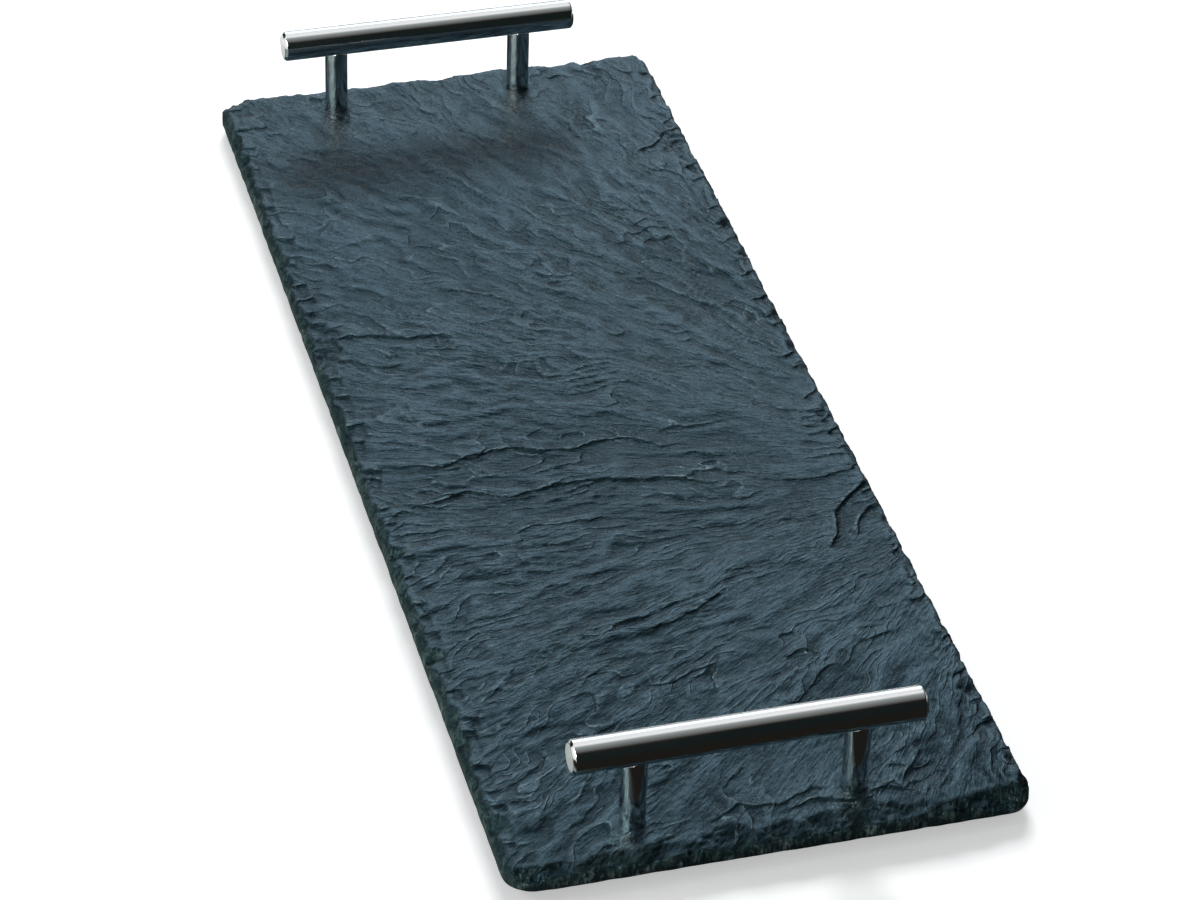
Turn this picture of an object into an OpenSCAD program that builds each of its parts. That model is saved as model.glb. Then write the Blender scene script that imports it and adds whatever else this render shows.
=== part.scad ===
// Slate serving board: a split slate slab with dressed edges, a bar handle across
// each short end, and four rubber feet. The handles are held by screws from below.
// Millimetres, +Z up. X runs across the board and Y along it, with the front handle
// on the -Y side. The feet stand on Z = 0, and the origin is under the board's middle.

/* [Slate] */
// Width of the slab at its underside
slate_w = 180; // [150:1:260]
// Length of the slab at its underside
slate_l = 480; // [360:1:600]
// Thickness of the slab
slate_t = 7; // [5:0.5:10]
// Mean width of the dressed bevel along the front edge
front_bevel_w = 8; // [3:0.5:9]
// Mean width of the dressed bevel along the left edge
left_bevel_w = 6; // [3:0.5:9]
// Mean width of the dressed bevel along the right edge
right_bevel_w = 4; // [3:0.5:9]
// Mean width of the dressed bevel along the rear edge
rear_bevel_w = 3; // [2:0.5:6]
// Deepest bite that the dressing leaves in the edge of the underside
edge_bite = 0.5; // [0.1:0.1:1]
// Distance between two small chips along the edge
chip_pitch = 5; // [4:0.5:10]
// Distance between two broad scallops along the edge
scallop_pitch = 18; // [12:1:40]
// Front left corner, cut back along X and along Y
front_left_cut = [12, 10]; // [8:0.5:16]
// Front right corner, cut back along X and along Y
front_right_cut = [9, 9]; // [8:0.5:16]
// Rear left corner, cut back along X and along Y
rear_left_cut = [8, 8]; // [8:0.5:16]
// Rear right corner, cut back along X and along Y
rear_right_cut = [8, 9]; // [8:0.5:16]

/* [Handles] */
// Diameter of the grip bar
bar_d = 12; // [10:0.5:16]
// Length of the grip bar
bar_l = 120; // [100:1:140]
// Chamfer on the bar's ends
bar_chamfer = 1; // [0.5:0.1:2]
// Height of the bar's axis above the top of the slate
bar_rise = 31.5; // [28:0.5:45]
// Diameter of a post
post_d = 9; // [8:0.1:9.5]
// Distance between the two posts of a handle
post_spacing = 76; // [64:1:90]
// Distance from the slate's front edge to the front posts
front_setback = 18.5; // [16:0.5:25]
// Distance from the slate's rear edge to the rear posts
rear_setback = 15; // [15:0.5:25]
// Sideways place of both handles from the board's middle line
handle_shift = -6; // [-10:0.5:10]

/* [Studs and screws] */
// Diameter of the headless stud that joins a post to its bar
stud_d = 5; // [4:0.5:5.5]
// Length of the stud
stud_l = 11; // [8:0.5:12]
// Width across the flats of the stud's hex socket
stud_socket_w = 2.5; // [2:0.1:3]
// Depth of the stud's hex socket
stud_socket_depth = 2; // [1:0.1:3]
// Diameter of the screw that holds a post to the slate
screw_d = 4; // [3:0.5:4.5]
// Length of the screw under its head
screw_l = 16; // [14:1:18]
// Diameter of the screw's pan head
screw_head_d = 8; // [7:0.1:9]
// Height of the screw's pan head
screw_head_h = 2.6; // [2.2:0.1:3.2]
// Length of the cross recess in the head
recess_l = 4; // [3:0.1:5]
// Width of the cross recess in the head
recess_w = 0.9; // [0.6:0.1:1.2]
// Depth of the cross recess in the head
recess_depth = 1.4; // [1:0.1:1.6]
// Outer diameter of the washer
washer_d = 10; // [9:0.1:12]
// Thickness of the washer
washer_t = 0.8; // [0.5:0.1:1.2]

/* [Feet] */
// Diameter of a rubber foot where it is stuck to the slate
foot_d = 12.5; // [10:0.1:16]
// Diameter of the foot where it meets the table
foot_tip_d = 11; // [8:0.1:11.5]
// Chamfer round the foot's lower edge
foot_chamfer = 0.5; // [0.2:0.1:1]
// Distance from the slate's side to the centre of a foot
foot_inset_x = 22; // [16:1:30]
// Distance from the slate's end to the centre of a foot
foot_inset_y = 38; // [36:1:60]

/* [Fits] */
// Gap all round a screw or stud in its threaded bore
thread_gap = 0.05; // [0.02:0.01:0.1]
// Gap all round a screw in the drilled slate and in its washer
shank_gap = 0.3; // [0.2:0.05:0.5]
// Gap between the saddle on top of a post and the bar
saddle_gap = 0.05; // [0.02:0.01:0.2]
// Gap left beyond the end of a stud or screw in its blind bore
bore_end_gap = 0.6; // [0.3:0.1:1]
// Air between the screw heads and the table
head_air = 0.6; // [0.4:0.1:2]

/* [Hidden] */
$fn = 64;

// Heights of the stack, from the table up
foot_h = washer_t + screw_head_h + head_air;
slate_top_z = foot_h + slate_t;
bar_z = slate_top_z + bar_rise;
joint_z = bar_z - bar_d / 2;

// Depths of the blind bores for the studs and the screws
stud_bore_depth = stud_l / 2 + bore_end_gap;
screw_in_post = screw_l - washer_t - slate_t;
screw_bore_depth = screw_in_post + bore_end_gap;

// Colours of the materials
slate_colour = [0.20, 0.24, 0.27];
chrome_colour = [0.78, 0.79, 0.80];
zinc_colour = [0.66, 0.67, 0.69];
rubber_colour = [0.07, 0.07, 0.075];

// A row's y and a side's x: every hole, post, stud, screw and washer follows these
ROWS = [["front", -slate_l / 2 + front_setback], ["rear", slate_l / 2 - rear_setback]];
SIDES = [["left", -1], ["right", 1]];
function post_x(side) = handle_shift + side * post_spacing / 2;

// The dressed edge: rings of points at shares of the slab's thickness, each set in by
// a share of the bevel's width, which differs from scallop to scallop and chip to chip
ring_height_shares = [0, 0.22, 0.6, 1];
ring_inset_shares = [0, 0.12, 0.5, 1];
scallop_share = 0.2;
chip_share = 0.14;
corner_bevel_share = 0.45;
scallop_seed = 3;
chip_seed = 7;
corner_steps = 6;

// Evenly spaced stations between a straight side's two ends: place, outward normal, bevel
function side_stations(ends, normal, bevel) =
    let (n = max(2, round(norm(ends[1] - ends[0]) / chip_pitch)))
    [for (i = [0 : n - 1]) [ends[0] + (ends[1] - ends[0]) * i / n, normal, bevel]];

// Stations round a corner, a quarter of an ellipse that starts at the angle turn
function corner_stations(corner, inward, cut, turn) =
    let (
        middle = [corner[0] + inward[0] * cut[0], corner[1] + inward[1] * cut[1]],
        bevel = corner_bevel_share * min(cut)
    )
    [for (i = [0 : corner_steps - 1])
        let (a = turn + 90 * i / corner_steps)
        [middle + [cut[0] * cos(a), cut[1] * sin(a)], [cos(a), sin(a)], bevel]];

half_w = slate_w / 2;
half_l = slate_l / 2;
front_ends = [[-half_w + front_left_cut[0], -half_l], [half_w - front_right_cut[0], -half_l]];
right_ends = [[half_w, -half_l + front_right_cut[1]], [half_w, half_l - rear_right_cut[1]]];
rear_ends = [[half_w - rear_right_cut[0], half_l], [-half_w + rear_left_cut[0], half_l]];
left_ends = [[-half_w, half_l - rear_left_cut[1]], [-half_w, -half_l + front_left_cut[1]]];
stations = concat(
    side_stations(front_ends, [0, -1], front_bevel_w),
    corner_stations([half_w, -half_l], [-1, 1], front_right_cut, 270),
    side_stations(right_ends, [1, 0], right_bevel_w),
    corner_stations([half_w, half_l], [-1, -1], rear_right_cut, 0),
    side_stations(rear_ends, [0, 1], rear_bevel_w),
    corner_stations([-half_w, half_l], [1, -1], rear_left_cut, 90),
    side_stations(left_ends, [-1, 0], left_bevel_w),
    corner_stations([-half_w, -half_l], [1, 1], front_left_cut, 180)
);
ring_n = len(stations);
ring_count = len(ring_height_shares);
chips = rands(-1, 1, ring_n * ring_count, chip_seed);
scallop_n = ceil(ring_n * chip_pitch / scallop_pitch) + 1;
scallops = rands(-1, 1, scallop_n, scallop_seed);

// The broad scallops at station i: random values a scallop's pitch apart, joined by lines
function scallop(i) =
    let (u = i * chip_pitch / scallop_pitch, j = floor(u))
    scallops[j] + (scallops[j + 1] - scallops[j]) * (u - j);

// How far ring k is set in at station i. The lowest ring keeps to the outline and is only
// bitten where its chip is positive.
function inset(k, i) =
    let (
        chip = chips[k * ring_n + i],
        bevel = stations[i][2] * ring_inset_shares[k]
    )
    k == 0 ? edge_bite * max(0, chip) : bevel * (1 + scallop_share * scallop(i) + chip_share * chip);

function ring_point(k, i) =
    let (place = stations[i][0] - stations[i][1] * inset(k, i))
    [place[0], place[1], foot_h + slate_t * ring_height_shares[k]];

// The slab's outside: walls between the rings, and a fan of triangles over each face
module slab_block() {
    rings = [for (k = [0 : ring_count - 1]) for (i = [0 : ring_n - 1]) ring_point(k, i)];
    last_ring = (ring_count - 1) * ring_n;
    middle = ring_count * ring_n;
    walls = [for (k = [0 : ring_count - 2]) for (i = [0 : ring_n - 1])
        let (j = (i + 1) % ring_n, low = k * ring_n, high = low + ring_n)
        each [[low + i, high + i, high + j], [low + i, high + j, low + j]]];
    faces = [for (i = [0 : ring_n - 1])
        let (j = (i + 1) % ring_n)
        each [[middle, i, j], [middle + 1, last_ring + j, last_ring + i]]];
    polyhedron(concat(rings, [[0, 0, foot_h], [0, 0, slate_top_z]]), concat(walls, faces));
}

module slate_board() {
    color(slate_colour)
    difference() {
        slab_block();
        for (row = ROWS, side = SIDES)
            translate([post_x(side[1]), row[1], foot_h - slate_t])
                cylinder(h = 3 * slate_t, d = screw_d + 2 * shank_gap);
    }
}

// A round bar along X with chamfered ends, grown by a gap where it is used as a cutter
module round_bar(length, d, chamfer) {
    rotate([0, 90, 0])
        rotate_extrude()
            polygon([
                [0, -length / 2],
                [d / 2 - chamfer, -length / 2],
                [d / 2, -length / 2 + chamfer],
                [d / 2, length / 2 - chamfer],
                [d / 2 - chamfer, length / 2],
                [0, length / 2]
            ]);
}

module handle_bar(row) {
    color(chrome_colour)
    translate([handle_shift, row[1], bar_z])
    difference() {
        round_bar(bar_l, bar_d, bar_chamfer);
        for (side = SIDES)
            translate([side[1] * post_spacing / 2, 0, -bar_d])
                cylinder(h = bar_d / 2 + stud_bore_depth, d = stud_d + 2 * thread_gap);
    }
}

module post(row, side) {
    color(chrome_colour)
    translate([post_x(side[1]), row[1], 0])
    difference() {
        translate([0, 0, slate_top_z])
            cylinder(h = bar_rise, d = post_d);
        translate([0, 0, bar_z])
            round_bar(2 * post_d, bar_d + 2 * saddle_gap, 0);
        translate([0, 0, joint_z - stud_bore_depth])
            cylinder(h = bar_d, d = stud_d + 2 * thread_gap);
        translate([0, 0, slate_top_z - screw_bore_depth])
            cylinder(h = 2 * screw_bore_depth, d = screw_d + 2 * thread_gap);
    }
}

// The stud's middle lies where the post meets the bar, with its socket end down
module stud(row, side) {
    color(zinc_colour)
    translate([post_x(side[1]), row[1], joint_z - stud_l / 2])
    difference() {
        cylinder(h = stud_l, d = stud_d);
        translate([0, 0, -stud_socket_depth])
            cylinder(h = 2 * stud_socket_depth, d = stud_socket_w / cos(30), $fn = 6);
    }
}

module screw(row, side) {
    head_shares = [[0, 0], [0.36, 0], [0.46, 0.2], [0.5, 0.6], [0.5, 1], [0, 1]];
    color(zinc_colour)
    translate([post_x(side[1]), row[1], head_air])
    difference() {
        union() {
            rotate_extrude()
                polygon([for (s = head_shares) [s[0] * screw_head_d, s[1] * screw_head_h]]);
            cylinder(h = screw_head_h + screw_l, d = screw_d);
        }
        for (turn = [0, 90])
            rotate([0, 0, turn])
                cube([recess_l, recess_w, 2 * recess_depth], center = true);
    }
}

module washer(row, side) {
    color(zinc_colour)
    translate([post_x(side[1]), row[1], foot_h - washer_t])
    difference() {
        cylinder(h = washer_t, d = washer_d);
        translate([0, 0, -washer_t])
            cylinder(h = 3 * washer_t, d = screw_d + 2 * shank_gap);
    }
}

module foot(row_sign, side) {
    color(rubber_colour)
    translate([side[1] * (half_w - foot_inset_x), row_sign * (half_l - foot_inset_y), 0])
        rotate_extrude()
            polygon([
                [0, 0],
                [foot_tip_d / 2 - foot_chamfer, 0],
                [foot_tip_d / 2, foot_chamfer],
                [foot_d / 2, foot_h],
                [0, foot_h]
            ]);
}

slate_board();
for (row = ROWS) {
    handle_bar(row);
    for (side = SIDES) {
        place = str(row[0], "_", side[0]);
        post(row, side);
        stud(row, side);
        screw(row, side);
        washer(row, side);
        foot(sign(row[1]), side);
    }
}
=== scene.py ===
"""Looks of a slate serving board: a riven slab with dressed edges, chrome bar handles,
zinc plated screws, studs and washers, and rubber feet. All lengths here are in
millimetres, and become metres in the meshes. X runs across the board, Y along it, and Z up
from the table."""

import math

import bpy
import numpy as np
from mathutils import Matrix, Vector


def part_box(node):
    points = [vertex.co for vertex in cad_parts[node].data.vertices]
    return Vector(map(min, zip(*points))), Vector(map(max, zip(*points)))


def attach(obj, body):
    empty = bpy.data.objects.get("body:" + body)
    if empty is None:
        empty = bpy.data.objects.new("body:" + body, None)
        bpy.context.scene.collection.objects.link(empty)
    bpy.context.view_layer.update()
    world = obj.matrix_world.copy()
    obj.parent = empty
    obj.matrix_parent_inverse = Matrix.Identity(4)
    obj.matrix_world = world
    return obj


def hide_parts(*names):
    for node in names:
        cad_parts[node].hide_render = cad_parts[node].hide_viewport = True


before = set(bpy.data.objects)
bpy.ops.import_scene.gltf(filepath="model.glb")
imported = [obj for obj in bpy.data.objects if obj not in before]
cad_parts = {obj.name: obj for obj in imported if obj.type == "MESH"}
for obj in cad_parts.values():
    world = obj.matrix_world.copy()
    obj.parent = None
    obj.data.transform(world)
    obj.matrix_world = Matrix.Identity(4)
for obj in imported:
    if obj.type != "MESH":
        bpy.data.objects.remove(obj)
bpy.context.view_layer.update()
MM = 0.001


def box_of(node_name):
    """The lowest and the highest corner of a CAD node, in millimetres."""
    return [np.array(corner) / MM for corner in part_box(node_name)]


def centre_of(node_name):
    """The middle of a CAD node's box, in millimetres."""
    low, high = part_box(node_name)
    return np.array((low + high) / 2) / MM


# The slab, from the frame: its edges and its two faces
SLAB_LOW, SLAB_HIGH = box_of("slate_board")
HALF_W = (SLAB_HIGH[0] - SLAB_LOW[0]) / 2
HALF_L = (SLAB_HIGH[1] - SLAB_LOW[1]) / 2
UNDER_Z = SLAB_LOW[2]
TOP_Z = SLAB_HIGH[2]
THICKNESS = TOP_Z - UNDER_Z

CORNER_NAMES = [row + "_" + side for row in ("front", "rear") for side in ("left", "right")]
POSTS = [centre_of(name + "_post") for name in CORNER_NAMES]
FEET = [centre_of(name + "_foot") for name in CORNER_NAMES]

# How far each corner is cut back along X and along Y, by the signs of its X and Y
CORNER_CUTS = {(-1, -1): (12, 10), (1, -1): (9, 9), (-1, 1): (8, 8), (1, 1): (8, 9)}

# The slab's grid: fine steps near the rim, wider ones between, and an underside that
# keeps every third line
RIM = 14.0
RIM_STEP = 0.7
COLUMNS = 150
ROWS = 558
UNDER_SKIP = 3

# Every ripple of the riven face points to this place beside the board
APEX = (150.0, -68.0)

# The raster that noise is drawn on: its step, and how far it reaches past the slab
RASTER_STEP = 0.5
RASTER_PAD = 20.0
RASTER_X = np.arange(-HALF_W - RASTER_PAD, HALF_W + RASTER_PAD, RASTER_STEP)
RASTER_Y = np.arange(-HALF_L - RASTER_PAD, HALF_L + RASTER_PAD, RASTER_STEP)


# Helpers on arrays

def smooth(low, high, value):
    """0 below low, 1 above high, and 3t^2 - 2t^3 of the share t between them."""
    t = np.clip((value - low) / (high - low), 0, 1)
    return t * t * (3 - 2 * t)


def blurred_noise(seed, size):
    """Seeded white noise on the raster, blurred by a Gaussian of the size through its
    Fourier transform, then scaled to mean 0 and deviation 1."""
    rng = np.random.default_rng(seed)
    noise = rng.standard_normal((len(RASTER_Y), len(RASTER_X)))
    fy = np.fft.fftfreq(len(RASTER_Y), RASTER_STEP)[:, None]
    fx = np.fft.rfftfreq(len(RASTER_X), RASTER_STEP)[None, :]
    keep = np.exp(-2 * (math.pi * size * fx) ** 2 - 2 * (math.pi * size * fy) ** 2)
    field = np.fft.irfft2(np.fft.rfft2(noise) * keep, s=noise.shape)
    return (field - field.mean()) / field.std()


def sample(field, x, y):
    """The raster field at places x, y: the mean of the four nearest cells, weighted by
    nearness along X and Y. Places past the raster take its border, a thousandth of a cell
    inside the last one."""
    u = np.clip((x - RASTER_X[0]) / RASTER_STEP, 0, len(RASTER_X) - 1.001)
    v = np.clip((y - RASTER_Y[0]) / RASTER_STEP, 0, len(RASTER_Y) - 1.001)
    i = u.astype(int)
    j = v.astype(int)
    a = u - i
    b = v - j
    low = field[j, i] * (1 - a) + field[j, i + 1] * a
    high = field[j + 1, i] * (1 - a) + field[j + 1, i + 1] * a
    return low * (1 - b) + high * b


def combed_noise(seed, across, along):
    """Noise blurred by `across`, then averaged along the straight line through each place
    and the apex, over the length `along` with a raised cosine as weight. Scaled to mean 0
    and deviation 1, it is made of streaks that all point to the apex."""
    field = blurred_noise(seed, across)
    x, y = np.meshgrid(RASTER_X, RASTER_Y)
    to_x = APEX[0] - x
    to_y = APEX[1] - y
    length = np.hypot(to_x, to_y)
    step = max(across, RASTER_STEP)
    count = int(along / step)
    total = np.zeros_like(field)
    for k in range(-count, count + 1):
        weight = 1 + math.cos(math.pi * k / (count + 1))
        total += weight * sample(field, x + k * step * to_x / length, y + k * step * to_y / length)
    return (total - total.mean()) / total.std()


def patches_at(x, y, seed, size):
    """Blurred noise at places x, y."""
    return sample(blurred_noise(seed, size), x, y)


def streaks_at(x, y, seed, across, along):
    """Combed noise at places x, y."""
    return sample(combed_noise(seed, across, along), x, y)


def mesh_object(name, points, faces, material):
    """A smooth mesh from points in millimetres and faces of four corners, -1 for none."""
    mesh = bpy.data.meshes.new(name)
    corner_count = (faces >= 0).sum(axis=1)
    loops = faces[faces >= 0]
    mesh.vertices.add(len(points))
    mesh.vertices.foreach_set("co", (points * MM).astype(np.float32).ravel())
    mesh.loops.add(len(loops))
    mesh.loops.foreach_set("vertex_index", loops.astype(np.int32))
    mesh.polygons.add(len(faces))
    starts = np.concatenate([[0], np.cumsum(corner_count)[:-1]])
    mesh.polygons.foreach_set("loop_start", starts.astype(np.int32))
    mesh.polygons.foreach_set("use_smooth", np.ones(len(faces), bool))
    mesh.update(calc_edges=True)
    mesh.validate()
    mesh.materials.append(material)
    piece = bpy.data.objects.new(name, mesh)
    bpy.context.scene.collection.objects.link(piece)
    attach(piece, "root")
    return piece


def add_attribute(piece, name, values):
    """A number at each point of the mesh, for its material to read."""
    attribute = piece.data.attributes.new(name, "FLOAT", "POINT")
    attribute.data.foreach_set("value", values.astype(np.float32))


# Node helpers

def new_material(name):
    """A node material, its tree and its Principled shader."""
    material = bpy.data.materials.new(name)
    material.use_nodes = True
    tree = material.node_tree
    return material, tree, tree.nodes["Principled BSDF"]


def emptied_tree(owner):
    """The node tree of a material or a world, with nothing in it."""
    owner.use_nodes = True
    owner.node_tree.nodes.clear()
    return owner.node_tree


def set_inputs(tree, made, inputs):
    """Sets or links a node's inputs, each given as (name or index, value or socket)."""
    for key, value in inputs:
        if isinstance(value, bpy.types.NodeSocket):
            tree.links.new(value, made.inputs[key])
        else:
            made.inputs[key].default_value = value


def node(tree, kind, inputs=(), **settings):
    """A node of a kind, with its settings and inputs."""
    made = tree.nodes.new(kind)
    for key, value in settings.items():
        setattr(made, key, value)
    set_inputs(tree, made, inputs)
    return made


def math_node(tree, operation, *values):
    """The output of a Math node of these values or sockets."""
    return node(tree, "ShaderNodeMath", list(enumerate(values)), operation=operation).outputs[0]


def chained(tree, operation, first, *others):
    """One operation carried through a row of values."""
    for other in others:
        first = math_node(tree, operation, first, other)
    return first


def times(tree, *values):
    """The product of the values."""
    return chained(tree, "MULTIPLY", *values)


def highest(tree, *values):
    """The highest of the values."""
    return chained(tree, "MAXIMUM", *values)


def weighted_sum(tree, *terms):
    """The sum of (value, weight) pairs."""
    return chained(tree, "ADD", *[times(tree, value, weight) for value, weight in terms])


def distance_from(tree, centre, value):
    """How far a value lies from a centre."""
    return math_node(tree, "ABSOLUTE", math_node(tree, "SUBTRACT", value, centre))


def band(tree, value, centre, full, none):
    """1 up to `full` away from a centre, and along a smooth step 0 from `none` on."""
    return smooth_range(tree, distance_from(tree, centre, value), full, none, 1.0, 0.0)


def object_place(tree):
    """The place on the object, in metres."""
    return node(tree, "ShaderNodeTexCoord").outputs["Object"]


def attribute_value(tree, name):
    """A number that the mesh carries for its material."""
    return node(tree, "ShaderNodeAttribute", attribute_name=name).outputs["Fac"]


def noise_node(tree, vector, scale, detail, roughness=0.55, distortion=0.0):
    """The value of a Noise Texture."""
    inputs = [("Vector", vector), ("Scale", scale), ("Detail", detail)]
    inputs += [("Roughness", roughness), ("Distortion", distortion)]
    return node(tree, "ShaderNodeTexNoise", inputs).outputs[0]


def map_range(tree, value, low, high, to_low=0.0, to_high=1.0, **settings):
    """A value carried from one range to another, held inside the second."""
    inputs = [("Value", value), ("From Min", low), ("From Max", high)]
    inputs += [("To Min", to_low), ("To Max", to_high)]
    return node(tree, "ShaderNodeMapRange", inputs, **settings).outputs[0]


def smooth_range(tree, value, low, high, to_low=0.0, to_high=1.0):
    """A value carried from one range to another along a smooth step."""
    return map_range(tree, value, low, high, to_low, to_high, interpolation_type="SMOOTHSTEP")


def mix_colour(tree, factor, first, second):
    """Two colours mixed by a factor."""
    # The node's colour inputs are its seventh and eighth, and its colour output the third
    inputs = [(0, factor), (6, first), (7, second)]
    return node(tree, "ShaderNodeMix", inputs, data_type="RGBA").outputs[2]


def bump_node(tree, height, distance, normal=None, strength=1.0):
    """The normal of a Bump node on top of another normal, with its distance in
    millimetres."""
    inputs = [("Height", height), ("Distance", distance * MM), ("Strength", strength)]
    if normal is not None:
        inputs.append(("Normal", normal))
    return node(tree, "ShaderNodeBump", inputs).outputs[0]


# Camera, fitted to the photograph

CAMERA_AZIMUTH = -16.557
CAMERA_ELEVATION = 36.774
CAMERA_ROLL = 2.086
CAMERA_TARGET = (1.695, -15.969, UNDER_Z)
CAMERA_DISTANCE = 1520.86
PHOTO_WIDTH = 1200
FOCAL_PIXELS = 4144.4
SENSOR_WIDTH = 36.0


def make_camera():
    """The camera looks at its target from the distance, azimuth and elevation, then rolls
    about its line of sight."""
    azimuth = math.radians(CAMERA_AZIMUTH)
    elevation = math.radians(CAMERA_ELEVATION)
    roll = math.radians(CAMERA_ROLL)
    flat = math.cos(elevation)
    back = Vector((math.sin(azimuth) * flat, -math.cos(azimuth) * flat, math.sin(elevation)))
    level = Vector((math.cos(azimuth), math.sin(azimuth), 0))
    upright = back.cross(level)
    right = level * math.cos(roll) + upright * math.sin(roll)
    up = upright * math.cos(roll) - level * math.sin(roll)
    place = (Vector(CAMERA_TARGET) + back * CAMERA_DISTANCE) * MM
    data = bpy.data.cameras.new("camera")
    data.sensor_width = SENSOR_WIDTH
    data.lens = FOCAL_PIXELS / PHOTO_WIDTH * SENSOR_WIDTH
    camera = bpy.data.objects.new("camera", data)
    bpy.context.scene.collection.objects.link(camera)
    turn = Matrix((right, up, back)).transposed().to_4x4()
    camera.matrix_world = Matrix.Translation(place) @ turn
    bpy.context.scene.camera = camera


# The riven face

# Long creases: the share of the full depth, then X and Y of the points along each
CREASES = [
    (0.35, [(-83, -17), (-70, -20), (-59, -22), (-50, -17), (-40, -16), (-28, -17),
            (-20, -20), (-12, -21), (-2, -17), (12, -19), (22, -25), (37, -27)]),
    (0.40, [(-82, -38), (-75, -42), (-53, -39), (-40, -44), (-22, -40), (-2, -42),
            (12, -45), (25, -47), (33, -52), (38, -53)]),
    (0.25, [(-45, -67), (-35, -64), (-22, -62), (-7, -62)]),
    (0.25, [(58, -58), (68, -57), (87, -57)]),
    (0.30, [(-18, -128), (-12, -129), (-2, -126), (5, -123), (12, -120), (20, -115)]),
    (0.25, [(-22, -158), (-12, -157), (-2, -153), (8, -151)]),
    (0.25, [(28, -152), (38, -150), (42, -155)]),
    (0.25, [(32, -170), (40, -163), (47, -160)]),
    (0.25, [(48, -223), (55, -215), (60, -208)]),
    (0.25, [(20, 105), (27, 100), (34, 93)]),
    (0.30, [(38, 82), (47, 75), (55, 65), (63, 57), (70, 50)]),
    (0.20, [(8, 123), (13, 113)]),
    (0.25, [(-36, 90), (-23, 84), (-12, 77), (-2, 70)]),
    (0.35, [(-85, 63), (-73, 65), (-62, 62), (-52, 58), (-40, 58), (-32, 52)]),
    (0.25, [(-52, 51), (-45, 47), (-37, 48)]),
    (0.20, [(42, 138), (45, 130), (52, 127)]),
    (0.25, [(83, -28), (87, -23), (90, -22)]),
    (0.25, [(84, -58), (87, -54), (90, -53)]),
    (0.60, [(62, -101), (65, -96), (70, -87), (72, -81), (75, -77), (81, -69), (88, -64),
            (94, -60)]),
    (0.30, [(75, -92), (77, -89), (84, -80), (87, -77)]),
    (0.50, [(66, 166), (73, 167), (78, 172), (82, 178)]),
    (0.40, [(83, 108), (87, 112), (91, 110)]),
    (0.30, [(-20, -229), (-8, -222), (6, -226), (18, -219), (24, -222)]),
    (0.30, [(4, -231), (16, -225), (30, -229), (42, -224), (52, -229)]),
    (0.30, [(84, -126), (87, -123), (92, -121)]),
    (0.30, [(85, -158), (88, -153), (92, -150)]),
]
# A crease's full depth, the signed distances between which its edge lies, and the distance
# over which both sides run out
CREASE_DEPTH = 1.5
CREASE_EDGE = (-0.6, 0.18)
CREASE_RUNOUT = 9.0
# The share of the depth that the face rises on the far side, and the share of a crease's
# length over which either end fades
CREASE_RISE = 0.4
CREASE_FADE = 0.16
# From this share of the full depth on a crease draws a full dark line, a painted shadow.
# Its distance is kept out to the reach, and its strength is full up to the other one
LINE_FULL_DROP = 0.35
LINE_REACH = 3.0
LINE_FULL_REACH = 1.2

# Nicks along the two long sides: pitch, length inwards, slant along the side for each
# millimetre inwards, and share of the full depth, the last three as least and most
NICKS = {
    "left": (11.0, (3.5, 7.5), (-0.1, 0.5), (0.20, 0.50)),
    "right": (13.0, (3.0, 7.0), (0.6, 1.3), (0.15, 0.40)),
}
NICK_SEED = 17
# How far the nicks keep from the front and the rear end, and how far they run on past
# their two ends
NICK_MARGINS = (16, 12)
NICK_PAST = 3
# How far a nick strays from its pitch, as a share of it, how far its middle strays from a
# straight line, and the share of its slant that its outer end lies off its place
NICK_STRAY = 0.45
NICK_BEND = 0.6
NICK_LEAN = 0.4


def nick_list():
    """The nicks as creases. Each runs from inside the face to past the rim, and its near
    side is the low one."""
    rng = np.random.default_rng(NICK_SEED)
    nicks = []
    for side, (pitch, inwards, slant, drop) in NICKS.items():
        for y in np.arange(-HALF_L + NICK_MARGINS[0], HALF_L - NICK_MARGINS[1], pitch):
            y += rng.uniform(-NICK_STRAY, NICK_STRAY) * pitch
            length = rng.uniform(*inwards)
            lean = rng.uniform(*slant) * length
            bend = rng.uniform(-NICK_BEND, NICK_BEND)
            end_lean = NICK_LEAN * lean
            if side == "left":
                points = [(-HALF_W - NICK_PAST, y + end_lean),
                          (-HALF_W + 0.5 * length, y + bend),
                          (-HALF_W + length + NICK_PAST, y - end_lean)]
            else:
                points = [(HALF_W - length - NICK_PAST, y - lean),
                          (HALF_W - 0.5 * length, y - end_lean + bend),
                          (HALF_W + NICK_PAST, y + end_lean)]
            nicks.append((rng.uniform(*drop), points))
    return nicks


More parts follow.
